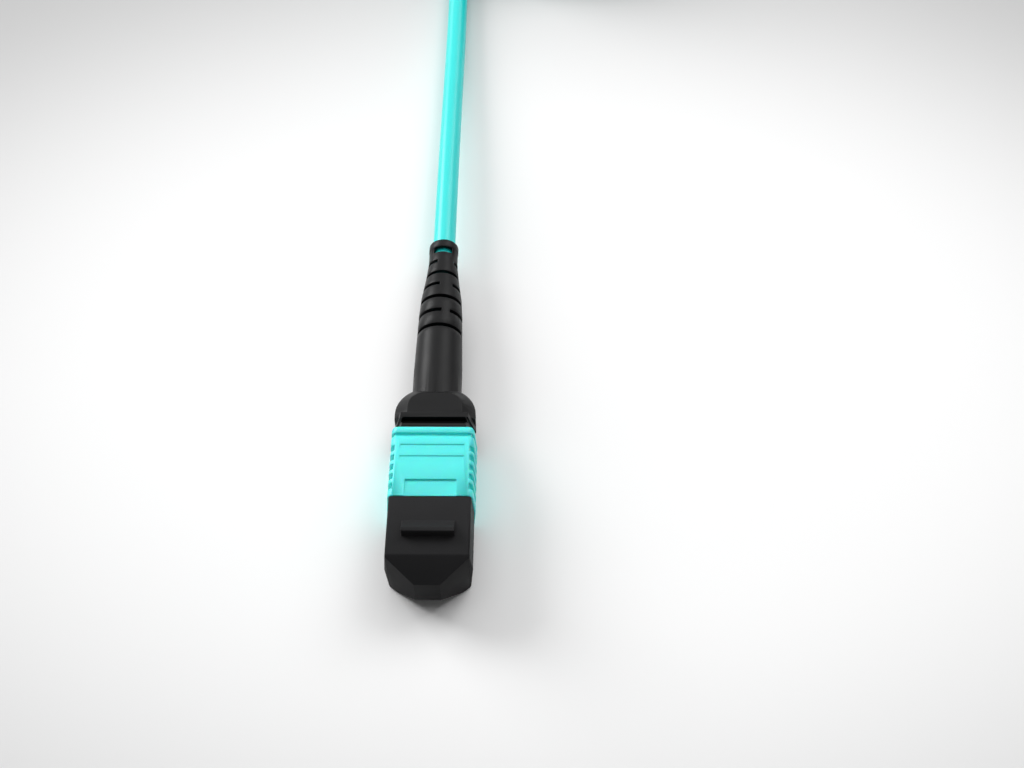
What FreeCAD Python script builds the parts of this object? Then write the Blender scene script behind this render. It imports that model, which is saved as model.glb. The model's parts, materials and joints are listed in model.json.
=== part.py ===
"""MPO fibre connector: a push-pull multi-fibre plug with its dust cap, on a patch cord.

Each connector is built in a frame of its own. Its Y runs from the tip of the cap's nose to the
end of the boot, and its XZ origin is the plug's axis. The Placement of each body then sets the
near connector on the model's origin, and the same pieces again at the far end of the cord.
"""
import FreeCAD
import Part
import math
import os
import re
import Sketcher

DRIVING_SIZES = [
    # name, millimetres (or a count, or degrees), what it is
    ("connector_length", 62.2, "nose of the cap to the end of the boot"),
    ("axis_height", 4.5, "axis above the surface that the sleeve rests on"),
    # coupling sleeve
    ("sleeve_front", 12.45, "front face of the sleeve"),
    ("sleeve_rear", 23.9, "rear face of the sleeve"),
    ("sleeve_width", 12.45, "width at the parting line"),
    ("sleeve_top_width", 11.75, "width at the top and bottom faces"),
    ("sleeve_height", 9.0, "height"),
    ("sleeve_web", 2.15, "length of the web that slides on the housing"),
    ("sleeve_round", 1.0, "rounding of the sleeve's long corners"),
    ("sleeve_shoulder", 0.6, "corner cut off the rear rim, seen from above"),
    ("grip_count", 5, "grip notches in each side"),
    ("grip_first", 1.25, "first notch, back from the front face"),
    ("grip_pitch", 1.55, "from notch to notch"),
    ("grip_width", 0.8, "width of a notch"),
    ("grip_depth", 0.2, "depth of a notch at the parting line"),
    ("grip_reach", 0.6, "depth of a notch at the top and bottom"),
    ("window_width", 7.2, "width of the shallow recess behind the front edge"),
    ("window_length", 2.65, "length of that recess"),
    ("window_depth", 0.3, "depth of that recess at its rear"),
    ("window_lip", 0.06, "depth of that recess at the front edge"),
    ("groove_width", 0.55, "width of the groove before the rear rim"),
    ("rim_length", 1.05, "length of the rear rim"),
    ("groove_depth", 0.4, "depth of that groove"),
    ("ridge_width", 9.1, "width of the thumb ridges"),
    ("ridge_first", 19.0, "wall of the first thumb ridge"),
    ("ridge_pitch", 1.9, "first thumb ridge to the second"),
    ("ridge_depth", 0.14, "height of a ridge's wall"),
    ("ridge_length", 1.2, "length of the ramp that falls to a ridge's wall"),
    # dust cap
    ("cap_nose", 3.4, "length of the nose at its sides and top"),
    ("cap_chin", 2.25, "length of the nose at its underside"),
    ("cap_width", 12.1, "width at the parting line"),
    ("cap_top_width", 11.35, "width at the top and bottom faces"),
    ("cap_round", 0.3, "rounding of the cap's long corners"),
    ("cap_height", 8.9, "height"),
    ("cap_tip_width", 3.5, "width of the nose's front face"),
    ("cap_tip_height", 4.5, "height of the nose's front face"),
    ("cap_gap", 0.05, "cap to sleeve"),
    ("cap_fit", 0.08, "cap to housing, each side"),
    ("cap_floor", 0.5, "room in front of the housing"),
    ("bar_width", 7.2, "width of the pull bar"),
    ("bar_front", 6.2, "front face of the pull bar"),
    ("bar_top_length", 0.6, "length of the bar's top"),
    ("bar_foot_length", 2.4, "length of the bar's foot"),
    ("bar_height", 1.35, "height of the bar above the cap"),
    # inner housing
    ("housing_front", 4.0, "front face of the inner housing"),
    ("housing_width", 9.3, "width of the plug"),
    ("housing_height", 6.4, "height of the plug"),
    ("housing_bevel", 0.35, "bevel on the housing's long edges"),
    ("web_fit", 0.1, "sleeve to housing, each side"),
    ("key_width", 3.0, "width of the key"),
    ("key_height", 0.65, "height of the key"),
    ("key_front", 1.2, "key, back from the housing's front face"),
    ("lug_length", 1.3, "length of the side lugs that stop the sleeve"),
    ("lug_height", 2.4, "height of the side lugs"),
    ("lug_reach", 0.4, "how far the lugs stand out"),
    ("lug_gap", 0.05, "lugs to sleeve"),
    # ferrule group
    ("ferrule_width", 6.4, "MT ferrule, width"),
    ("ferrule_height", 2.5, "MT ferrule, height"),
    ("ferrule_length", 8.0, "MT ferrule, length"),
    ("ferrule_reach", 0.5, "how far the ferrule stands out of the housing"),
    ("ferrule_fit", 0.1, "ferrule to housing, each side"),
    ("shoulder_width", 7.0, "ferrule's shoulder, width"),
    ("shoulder_height", 3.0, "ferrule's shoulder, height"),
    ("shoulder_length", 2.0, "ferrule's shoulder, length"),
    ("shoulder_gap", 0.1, "shoulder to its seat in the housing"),
    ("guide_bore", 0.7, "diameter of the guide-pin bores"),
    ("guide_pitch", 4.6, "from bore to bore"),
    ("ribbon_width", 3.0, "fibre ribbon, width"),
    ("ribbon_thickness", 0.3, "fibre ribbon, thickness"),
    ("boot_wall", 0.25, "rubber round the ribbon, at the sides"),
    ("boot_thickness", 1.4, "ferrule boot, thickness"),
    ("boot_length", 5.0, "ferrule boot, length"),
    ("keeper_bevel", 0.3, "bevel on the keeper's corners"),
    ("boot_fit", 0.02, "ferrule boot to what it sits in, each side"),
    ("keeper_length", 2.0, "pin keeper, length"),
    ("glue_front", 2.4, "glue window, back from the ferrule's front face"),
    ("glue_length", 1.1, "glue window, length"),
    # springs
    ("ferrule_spring_width", 3.9, "ferrule spring, outside"),
    ("ferrule_spring_wire", 0.4, "ferrule spring, wire"),
    ("side_spring_width", 1.3, "coupling spring, outside"),
    ("side_spring_wire", 0.2, "coupling spring, wire"),
    ("side_spring_offset", 4.9, "coupling spring, from the axis"),
    ("side_spring_fit", 0.06, "coupling spring to its groove"),
    ("spring_gap", 0.04, "springs to their seats"),
    # back post
    ("chamber_width", 7.3, "chamber in the housing, width"),
    ("chamber_height", 5.2, "chamber in the housing, height"),
    ("flange_front", 22.4, "front face of the back post's flange"),
    ("flange_length", 2.1, "length of the flange"),
    ("flange_width", 11.3, "width of the flange and the boot's neck"),
    ("flange_top_width", 9.3, "their width at the top and bottom"),
    ("flange_height", 7.6, "their height"),
    ("flange_fit", 0.1, "flange and collar to the sleeve's chamber, each side"),
    ("spigot_length", 2.2, "length of the block inside the housing"),
    ("spigot_fit", 0.1, "block to housing, each side"),
    ("arm_width", 2.0, "width of a latch arm"),
    ("arm_thickness", 0.5, "thickness of a latch arm"),
    ("arm_length", 4.4, "length of a latch arm"),
    ("hook_length", 1.2, "length of a latch hook"),
    ("hook_reach", 0.5, "how far a hook stands out of its arm"),
    ("hook_fit", 0.15, "hook to its window"),
    ("hook_setback", 0.3, "hook, back from the arm's tip"),
    ("tube_width", 3.9, "crimp tube, outside"),
    ("tube_length", 9.0, "crimp tube, length"),
    ("tube_bore", 3.2, "bore for the ribbon"),
    # yarn and crimp
    ("yarn_thickness", 0.2, "aramid yarn on the tube"),
    ("yarn_lead", 0.4, "yarn that shows before the crimp ring"),
    ("yarn_seat", 0.02, "yarn to the tube's end and to the jacket"),
    ("crimp_wall", 0.3, "crimp ring, wall"),
    ("crimp_length", 6.4, "crimp ring, length"),
    ("crimp_gap", 1.5, "crimp ring, behind the flange"),
    ("jacket_front", 34.4, "where the jacket begins"),
    # boot
    ("collar_slot", 25.0, "slot across the neck, front face"),
    ("collar_slot_length", 1.05, "length of that slot"),
    ("collar_slot_width", 9.7, "width of that slot"),
    ("collar_slot_depth", 1.1, "depth of that slot"),
    ("collar_slot_point", 0.35, "how far the slot's ends are pointed"),
    ("collar_width", 11.86, "width of the rim and the saddle"),
    ("collar_top_width", 9.8, "width of the rim's top and bottom"),
    ("collar_rear", 26.95, "where the collar's rim ends"),
    ("collar_step", 0.12, "step behind the rim"),
    ("saddle_rear", 32.5, "rear of the saddle"),
    ("saddle_round", 4.5, "radius of the saddle's rear corners"),
    ("saddle_bevel", 1.95, "bevel round the saddle's flat"),
    ("barrel_front_width", 7.36, "barrel, diameter at its front"),
    ("barrel_middle", 36.0, "where the barrel's straight part ends"),
    ("barrel_rear_width", 6.8, "barrel, diameter where it begins to narrow"),
    ("barrel_rear", 47.5, "where the barrel begins to narrow"),
    ("taper_front", 50.8, "where the narrowing is under way"),
    ("taper_front_width", 6.4, "diameter there"),
    ("taper_middle", 55.2, "where the narrowing eases"),
    ("taper_middle_width", 5.22, "diameter there"),
    ("taper_rear", 58.5, "where the tail begins"),
    ("taper_width", 4.62, "diameter there"),
    ("bead_front", 60.7, "where the bead at the tail begins"),
    ("tail_width", 4.74, "diameter of the bead"),
    ("tail_round", 0.2, "rounding of the tail's edge"),
    ("slot_first", 43.2, "first slot"),
    ("slot_pitch", 3.0, "first slot to the second"),
    ("slot_shrink", 0.1, "how much shorter each pitch is than the last"),
    ("slot_width", 0.62, "width of a slot"),
    ("slot_web", 1.7, "width of the webs beside the upper and lower slots"),
    ("side_web", 2.7, "width of the webs over and under the side slots"),
    ("side_web_growth", 0.7, "how much wider each pair of those webs is than the last"),
    ("slot_turn", 17.0, "how far the side slots are turned about the axis, degrees"),
    ("tail_window_width", 2.9, "window at the tail, width"),
    ("tail_window_length", 1.15, "window at the tail, length"),
    ("tail_window", 59.5, "front of that window"),
    ("jacket_fit", 0.05, "jacket to boot"),
    ("jacket_room", 0.4, "crimp chamber, past the front of the jacket"),
    ("crimp_fit", 0.06, "crimp ring to boot"),
    # cord
    ("jacket_width", 3.6, "cable jacket, diameter"),
    ("hank_outer", 18.0, "hank, outer radius of its ends"),
    ("hank_inner", 10.8, "hank, inner radius of its ends"),
    ("hank_run", 34.0, "hank, centre to centre of its ends"),
    ("hank_height", 12.2, "hank with its tie, height"),
    ("hank_centre", 16.2, "hank, from the near lead to its middle"),
    ("lead_guide", 14.9, "straight run of the near lead behind its boot"),
    ("far_lead_guide", 4.5, "straight run of the far lead behind its boot"),
    ("hank_near_end", 125.0, "hank, centre of its near end"),
    ("far_tip", 248.2, "tip of the far connector's nose"),
]

# Centreline of each lead, chosen by hand. The middle points are where its runs meet.
NEAR_ROUTE = [
    ("0", "jacket_front - connector_length / 2", "axis_height"),
    ("0", "connector_length / 2 + lead_guide", "axis_height"),
    ("0.35", "94", "jacket_width / 2"),
    ("0", "hank_near_end - 5", "jacket_width / 2"),
]
FAR_ROUTE = [
    ("0", "far_tip - jacket_front", "axis_height"),
    ("0", "far_tip - connector_length - far_lead_guide", "axis_height"),
    ("0", "hank_near_end + hank_run + 9.5", "8.6"),
    ("0", "hank_near_end + hank_run - 3", "9"),
]

ARC_SHARE = 0.45
SLOT_COUNT = 6
MOST_NODES = 60

doc = FreeCAD.newDocument("FibreConnector")
sheet = doc.addObject("Spreadsheet::Sheet", "Sizes")
SUB_PARTS = []


def fill_sheet():
    """Write each driving size on a row of its own: name, number, meaning."""
    for row, (name, number, meaning) in enumerate(DRIVING_SIZES, start=1):
        sheet.set(f"A{row}", name)
        sheet.set(f"B{row}", str(number))
        sheet.set(f"C{row}", meaning)
        sheet.setAlias(f"B{row}", name)
    doc.recompute()


def linked(formula):
    """Turn plain names of sizes into references to the sheet."""
    names = {name for name, _, _ in DRIVING_SIZES}
    return re.sub(
        r"[a-z][a-z_]*",
        lambda found: f"Sizes.{found.group()}" if found.group() in names else found.group(),
        str(formula),
    )


def worth(formula):
    """Work a formula out now, for a first guess or a computed shape."""
    result = sheet.evalExpression(linked(formula))
    return float(result)


def bind(item, **formulas):
    """Tie properties to formulas. A double underscore in a name stands for a dot."""
    for name, formula in formulas.items():
        item.setExpression(name.replace("__", "."), linked(formula))


class Connector:
    """Where one connector stands, and what its nodes' names begin with."""

    def __init__(self, prefix, tip, half_turn):
        self.prefix = prefix
        self.tip = tip
        self.half_turn = half_turn

    def node(self, name):
        return self.prefix + name

    def place(self, item):
        """Bind the item's Placement to this connector's place."""
        turn = 180 if self.half_turn else 0
        item.Placement = FreeCAD.Placement(
            FreeCAD.Vector(0, worth(self.tip), worth("axis_height")),
            FreeCAD.Rotation(FreeCAD.Vector(0, 0, 1), turn),
        )
        bind(item, Placement__Base__y=self.tip, Placement__Base__z="axis_height")


def origin_part(body, role):
    """Give the origin plane or axis of a body by its role."""
    for feature in body.Origin.OriginFeatures:
        if feature.Role == role:
            return feature
    raise KeyError(role)


def new_body(connector, name):
    """Start the body of one sub-part, already in its place."""
    body = doc.addObject("PartDesign::Body", connector.node(name))
    body.Label = connector.node(name)
    connector.place(body)
    SUB_PARTS.append(body)
    return body


def new_sketch(body, role, along="0"):
    """Add a sketch on an origin plane, moved back along the plug or up from its axis."""
    sketch = body.newObject("Sketcher::SketchObject", f"{body.Name}_sketch")
    sketch.AttachmentSupport = (origin_part(body, role), [""])
    sketch.MapMode = "FlatFace"
    bind(sketch, AttachmentOffset__Base__z=f"-({along})" if role == "XZ_Plane" else along)
    return sketch


def fix_point(sketch, line, across, upward):
    """Hold the start of a line at two formulas."""
    for kind, formula in (("DistanceX", across), ("DistanceY", upward)):
        number = sketch.addConstraint(Sketcher.Constraint(kind, -1, 1, line, 1, worth(formula)))
        sketch.setExpression(f"Constraints[{number}]", linked(formula))


def draw_loop(sketch, points):
    """Draw a closed loop of straight lines through points given as pairs of formulas."""
    first = sketch.GeometryCount
    corners = [FreeCAD.Vector(worth(across), worth(upward)) for across, upward in points]
    count = len(points)
    for index, corner in enumerate(corners):
        sketch.addGeometry(Part.LineSegment(corner, corners[(index + 1) % count]), False)
    for index in range(count):
        following = first + (index + 1) % count
        sketch.addConstraint(Sketcher.Constraint("Coincident", first + index, 2, following, 1))
    for index, (across, upward) in enumerate(points):
        fix_point(sketch, first + index, across, upward)


def draw_circle(sketch, radius, across="0", upward="0"):
    """Draw a circle of a bound radius about a bound centre."""
    centre = FreeCAD.Vector(worth(across), worth(upward))
    ring = sketch.addGeometry(Part.Circle(centre, FreeCAD.Vector(0, 0, 1), worth(radius)), False)
    number = sketch.addConstraint(Sketcher.Constraint("Radius", ring, worth(radius)))
    sketch.setExpression(f"Constraints[{number}]", linked(radius))
    for kind, formula in (("DistanceX", across), ("DistanceY", upward)):
        number = sketch.addConstraint(Sketcher.Constraint(kind, -1, 1, ring, 3, worth(formula)))
        sketch.setExpression(f"Constraints[{number}]", linked(formula))


def block(half_width, low, high):
    """Corners of a rectangle that is even about the middle plane."""
    return [
        (f"-({half_width})", low),
        (half_width, low),
        (half_width, high),
        (f"-({half_width})", high),
    ]


def even_block(half_width, half_height):
    """Corners of a rectangle centred on the axis."""
    return block(half_width, f"-({half_height})", half_height)


def waisted(half_top, half_middle, half_height):
    """Corners of a moulded section that widens from its top and bottom to the parting line."""
    return [
        (f"-({half_top})", f"-({half_height})"),
        (half_top, f"-({half_height})"),
        (half_middle, "0"),
        (half_top, half_height),
        (f"-({half_top})", half_height),
        (f"-({half_middle})", "0"),
    ]


def finish_feature(body, feature, grows):
    """Make a feature the body's tip, and see that it added or cut something."""
    before = body.Shape.Volume if not body.Shape.isNull() else 0.0
    body.Tip = feature
    doc.recompute()
    change = body.Shape.Volume - before
    if (change > 0) != grows or abs(change) < 1e-6:
        raise ValueError(f"{feature.Name} changed the volume by {change:.6f}")
    return feature


def pad(body, sketch, length):
    """Pad a cross-section towards the rear of the plug."""
    feature = body.newObject("PartDesign::Pad", f"{body.Name}_pad")
    feature.Profile = sketch
    feature.Reversed = True
    bind(feature, Length=length)
    return finish_feature(body, feature, grows=True)


def pad_both(body, sketch, width):
    """Pad a profile evenly to both sides of its plane."""
    feature = body.newObject("PartDesign::Pad", f"{body.Name}_pad")
    feature.Profile = sketch
    feature.Midplane = True
    bind(feature, Length=width)
    return finish_feature(body, feature, grows=True)


def pocket(body, sketch, length, forward=False):
    """Cut a cross-section out towards the rear, or towards the front."""
    feature = body.newObject("PartDesign::Pocket", f"{body.Name}_pocket")
    feature.Profile = sketch
    feature.Reversed = forward
    bind(feature, Length=length)
    return finish_feature(body, feature, grows=False)


def pocket_both(body, sketch, width):
    """Cut a profile evenly to both sides of its plane."""
    feature = body.newObject("PartDesign::Pocket", f"{body.Name}_pocket")
    feature.Profile = sketch
    feature.Midplane = True
    bind(feature, Length=width)
    return finish_feature(body, feature, grows=False)


def edges_of(feature, wanted):
    """Name the edges of a feature's shape that pass a test on their two ends."""
    names = []
    for number, edge in enumerate(feature.Shape.Edges, start=1):
        if len(edge.Vertexes) == 2 and wanted(edge.Vertexes[0].Point, edge.Vertexes[1].Point):
            names.append(f"Edge{number}")
    if not names:
        raise ValueError(f"no edge of {feature.Name} passes the test")
    return names


def round_edges(body, wanted, radius):
    """Round the edges that pass a test."""
    base = body.Tip
    chosen = edges_of(base, wanted)
    feature = body.newObject("PartDesign::Fillet", f"{body.Name}_fillet")
    feature.Base = (base, chosen)
    bind(feature, Radius=radius)
    body.Tip = feature
    doc.recompute()


def bevel_edges(body, wanted, size):
    """Bevel the edges that pass a test."""
    base = body.Tip
    chosen = edges_of(base, wanted)
    feature = body.newObject("PartDesign::Chamfer", f"{body.Name}_chamfer")
    feature.Base = (base, chosen)
    bind(feature, Size=size)
    body.Tip = feature
    doc.recompute()


def runs_lengthwise(start, end):
    """Tell if an edge runs along the plug."""
    return abs(start.x - end.x) < 1e-6 and abs(start.z - end.z) < 1e-6


def section(body, along, *loops):
    """Sketch one or more closed loops across the plug's axis."""
    sketch = new_sketch(body, "XZ_Plane", along)
    for loop in loops:
        draw_loop(sketch, loop)
    return sketch


def rings(body, along, *radii):
    """Sketch one or more circles about the plug's axis."""
    sketch = new_sketch(body, "XZ_Plane", along)
    for radius in radii:
        draw_circle(sketch, radius)
    return sketch


def side_profile(body, *loops):
    """Sketch loops in the plug's upright middle plane."""
    sketch = new_sketch(body, "YZ_Plane")
    for loop in loops:
        draw_loop(sketch, loop)
    return sketch


def build_dust_cap(connector):
    """Cap with a nose cut by planes, a pull bar, and a socket that fits the plug and its key."""
    body = new_body(connector, "dust_cap")
    box = waisted("cap_top_width / 2", "cap_width / 2", "cap_height / 2")
    rear = "sleeve_front - cap_gap"
    pad(body, section(body, "0", box), rear)
    round_edges(body, on_long_corner, "cap_round")
    cut_nose(body)
    bar = [
        ("bar_front", "cap_height / 2 - cap_round"),
        ("bar_front + bar_foot_length", "cap_height / 2 - cap_round"),
        ("bar_front + bar_foot_length", "cap_height / 2"),
        ("bar_front + bar_top_length", "cap_height / 2 + bar_height"),
        ("bar_front", "cap_height / 2 + bar_height"),
    ]
    pad_both(body, side_profile(body, bar), "bar_width")
    cut_cap_socket(body, rear)
    return body


def on_long_corner(start, end):
    """Tell if an edge is a long corner at the top or bottom of a moulded section."""
    return runs_lengthwise(start, end) and abs(start.z) > 1.0


def cut_nose(body):
    """Slope the cap's front to its small front face, from both sides, above and below."""
    plan = new_sketch(body, "XY_Plane")
    for sign in ("", "-"):
        beside = f"{sign}(cap_width / 2 + cap_gap)"
        side = [
            (f"{sign}cap_tip_width / 2", "0"),
            (beside, "0"),
            (beside, "cap_nose"),
            (f"{sign}cap_width / 2", "cap_nose"),
        ]
        draw_loop(plan, side)
    pocket_both(body, plan, "2 * cap_height")
    slopes = []
    for sign, length in (("", "cap_nose"), ("-", "cap_chin")):
        beyond = f"{sign}cap_height"
        slopes.append(
            [
                ("0", f"{sign}cap_tip_height / 2"),
                ("0", beyond),
                (length, beyond),
                (length, f"{sign}cap_height / 2"),
            ]
        )
    pocket_both(body, side_profile(body, *slopes), "2 * cap_width")


def cut_cap_socket(body, rear):
    """Cut the socket for the plug, its key, its lugs and the tip of the ferrule."""
    socket = even_block("housing_width / 2 + cap_fit", "housing_height / 2 + cap_fit")
    floor = "housing_front - cap_floor"
    pocket(body, section(body, rear, socket), f"{rear} - ({floor})", forward=True)
    keyway = block("key_width / 2 + cap_fit", "0", "housing_height / 2 + key_height + cap_fit")
    key_start = "housing_front + key_front - cap_fit"
    pocket(body, section(body, rear, keyway), f"{rear} - ({key_start})", forward=True)
    lugs = even_block("housing_width / 2 + lug_reach + cap_fit", "lug_height / 2 + cap_fit")
    pocket(body, section(body, rear, lugs), "lug_length + lug_gap + cap_fit", forward=True)
    well = even_block("ferrule_width / 2 + ferrule_fit", "ferrule_height / 2 + ferrule_fit")
    pocket(body, section(body, floor, well), "ferrule_reach", forward=True)


def build_coupling_sleeve(connector):
    """Sleeve with notched grips, a rear rim, and a web that slides on the housing."""
    body = new_body(connector, "coupling_sleeve")
    half_top, half_middle, half_height = "sleeve_top_width / 2", "sleeve_width / 2", "sleeve_height / 2"
    length = "sleeve_rear - sleeve_front"
    pad(body, section(body, "sleeve_front", waisted(half_top, half_middle, half_height)), length)
    round_edges(body, on_long_corner, "sleeve_round")
    cut_rear_shoulders(body)
    cut_grips(body)
    ring = waisted(
        f"{half_top} - groove_depth", f"{half_middle} - groove_depth", f"{half_height} - groove_depth"
    )
    beyond = even_block(f"{half_middle} + groove_depth", f"{half_height} + groove_depth")
    groove_front = "sleeve_rear - rim_length - groove_width"
    pocket(body, section(body, groove_front, beyond, ring), "groove_width")
    cut_recess_and_ridges(body)
    web_hole = even_block("housing_width / 2 + web_fit", "housing_height / 2 + web_fit")
    pocket(body, section(body, "sleeve_front", web_hole), "sleeve_web")
    chamber = waisted(
        "flange_top_width / 2 + flange_fit", "flange_width / 2 + flange_fit", "flange_height / 2 + flange_fit"
    )
    pocket(body, section(body, "sleeve_front + sleeve_web", chamber), length)
    return body


def cut_rear_shoulders(body):
    """Cut the corners of the rear rim off, as seen from above."""
    sketch = new_sketch(body, "XY_Plane")
    for sign in ("", "-"):
        beside = f"{sign}(sleeve_width / 2 + sleeve_shoulder)"
        corner = [
            (f"{sign}(sleeve_width / 2 - sleeve_shoulder)", "sleeve_rear"),
            (beside, "sleeve_rear"),
            (beside, "sleeve_rear - sleeve_shoulder"),
            (f"{sign}sleeve_width / 2", "sleeve_rear - sleeve_shoulder"),
        ]
        draw_loop(sketch, corner)
    pocket_both(body, sketch, "2 * sleeve_height")


def cut_grips(body):
    """Cut a row of upright notches into each side. They reach deepest at the top and bottom."""
    notches = []
    for sign in ("", "-"):
        at_top = f"{sign}(sleeve_top_width / 2 - grip_reach)"
        beside = f"{sign}(sleeve_width / 2 + grip_depth)"
        notches.append(
            [
                (f"{sign}(sleeve_width / 2 - grip_depth)", "0"),
                (at_top, "sleeve_height / 2"),
                (beside, "sleeve_height / 2"),
                (beside, "-sleeve_height / 2"),
                (at_top, "-sleeve_height / 2"),
            ]
        )
    first = pocket(body, section(body, "sleeve_front + grip_first", *notches), "grip_width")
    row = body.newObject("PartDesign::LinearPattern", f"{body.Name}_grips")
    row.Originals = [first]
    row.Direction = (origin_part(body, "Y_Axis"), [""])
    bind(row, Length="grip_pitch * (grip_count - 1)", Occurrences="grip_count")
    finish_feature(body, row, grows=False)


def cut_recess_and_ridges(body):
    """Sink the front recess and the two thumb ridges into the top and bottom faces."""
    for sign in ("", "-"):
        recess = ramp("sleeve_front", "sleeve_front + window_length", sign, "window_lip", "window_depth")
        pocket_both(body, side_profile(body, recess), "window_width")
        ridges = []
        for wall in ("ridge_first", "ridge_first + ridge_pitch"):
            ridges.append(ramp(f"{wall} - ridge_length", wall, sign, "0", "ridge_depth"))
        pocket_both(body, side_profile(body, *ridges), "ridge_width")


def ramp(front, rear, sign, front_depth, rear_depth):
    """Give a side-view loop that sinks from one depth to another below the top or bottom."""
    above = f"{sign}sleeve_height"
    return [
        (front, f"{sign}(sleeve_height / 2 - {front_depth})"),
        (rear, f"{sign}(sleeve_height / 2 - {rear_depth})"),
        (rear, above),
        (front, above),
    ]


def build_inner_housing(connector):
    """Plug body with its key, side lugs, spring grooves and latch windows."""
    body = new_body(connector, "inner_housing")
    length = "flange_front - housing_front"
    plug = even_block("housing_width / 2", "housing_height / 2")
    pad(body, section(body, "housing_front", plug), length)
    bevel_edges(body, runs_lengthwise, "housing_bevel")
    key = block("key_width / 2", "0", "housing_height / 2 + key_height")
    key_start = "housing_front + key_front"
    key_end = "sleeve_front - lug_gap - cap_gap"
    pad(body, section(body, key_start, key), f"{key_end} - ({key_start})")
    lug_rear = "sleeve_front - lug_gap"
    lugs = even_block("housing_width / 2 + lug_reach", "lug_height / 2")
    pad(body, section(body, f"{lug_rear} - lug_length", lugs), "lug_length")
    mouth = even_block("ferrule_width / 2 + ferrule_fit", "ferrule_height / 2 + ferrule_fit")
    pocket(body, section(body, "housing_front", mouth), length)
    chamber = even_block("chamber_width / 2", "chamber_height / 2")
    seat = "housing_front - ferrule_reach + ferrule_length - shoulder_length - shoulder_gap"
    pocket(body, section(body, seat, chamber), f"flange_front - ({seat})")
    cut_spring_grooves(body)
    window = even_block("arm_width / 2 + hook_fit", "housing_height")
    window_front = "flange_front - spigot_length - arm_length + hook_setback - hook_fit"
    pocket(body, section(body, window_front, window), "hook_length + 2 * hook_fit")
    return body


def cut_spring_grooves(body):
    """Cut a half-round groove for a coupling spring into each side."""
    front = "sleeve_front + sleeve_web"
    for sign in ("", "-"):
        sketch = new_sketch(body, "XZ_Plane", front)
        draw_circle(sketch, "side_spring_width / 2 + side_spring_fit", f"{sign}side_spring_offset")
        pocket(body, sketch, f"flange_front - ({front})")


def build_mt_ferrule(connector):
    """MT ferrule with its shoulder, guide bores, ribbon well and glue window."""
    body = new_body(connector, "mt_ferrule")
    front = "housing_front - ferrule_reach"
    rear = f"{front} + ferrule_length"
    stem = even_block("ferrule_width / 2", "ferrule_height / 2")
    pad(body, section(body, front, stem), "ferrule_length")
    shoulder = even_block("shoulder_width / 2", "shoulder_height / 2")
    pad(body, section(body, f"{rear} - shoulder_length", shoulder), "shoulder_length")
    bores = new_sketch(body, "XZ_Plane", front)
    for sign in ("", "-"):
        draw_circle(bores, "guide_bore / 2", f"{sign}guide_pitch / 2")
    pocket(body, bores, "ferrule_length")
    well = even_block("ribbon_width / 2 + boot_wall + boot_fit", "boot_thickness / 2 + boot_fit")
    pocket(body, section(body, rear, well), "ferrule_length / 2", forward=True)
    glue = block("ribbon_width / 2", "0", "ferrule_height")
    pocket(body, section(body, f"{front} + glue_front", glue), "glue_length")
    return body


def build_ferrule_boot(connector):
    """Rubber sleeve that holds the ribbon in the back of the ferrule."""
    body = new_body(connector, "ferrule_boot")
    rear = "housing_front - ferrule_reach + ferrule_length + keeper_length"
    outside = even_block("ribbon_width / 2 + boot_wall", "boot_thickness / 2")
    slit = even_block("ribbon_width / 2 + boot_fit", "ribbon_thickness / 2 + boot_fit")
    pad(body, section(body, f"{rear} - boot_length", outside, slit), "boot_length")
    return body


def build_pin_keeper(connector):
    """Plate behind the ferrule that takes the spring's push."""
    body = new_body(connector, "pin_keeper")
    front = "housing_front - ferrule_reach + ferrule_length"
    plate = even_block("shoulder_width / 2", "shoulder_height / 2")
    hole = even_block("ribbon_width / 2 + boot_wall + boot_fit", "boot_thickness / 2 + boot_fit")
    pad(body, section(body, front, plate, hole), "keeper_length")
    bevel_edges(body, lambda start, end: runs_lengthwise(start, end) and abs(start.x) > 3, "keeper_bevel")
    return body


def build_ferrule_spring(connector):
    """Space of the ferrule's coil spring, from the pin keeper to the back post."""
    body = new_body(connector, "ferrule_spring")
    front = "housing_front - ferrule_reach + ferrule_length + keeper_length"
    rear = "flange_front - spigot_length"
    outside = "ferrule_spring_width / 2"
    inside = "ferrule_spring_width / 2 - ferrule_spring_wire"
    pad(body, rings(body, front, outside, inside), f"{rear} - ({front})")
    return body


def build_coupling_spring(connector, name, sign):
    """Space of one coupling spring, from the sleeve's web to the back post's flange."""
    body = new_body(connector, name)
    front = "sleeve_front + sleeve_web"
    sketch = new_sketch(body, "XZ_Plane", f"{front} + spring_gap")
    across = f"{sign}side_spring_offset"
    draw_circle(sketch, "side_spring_width / 2", across)
    draw_circle(sketch, "side_spring_width / 2 - side_spring_wire", across)
    pad(body, sketch, f"flange_front - ({front}) - 2 * spring_gap")
    return body


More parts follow.
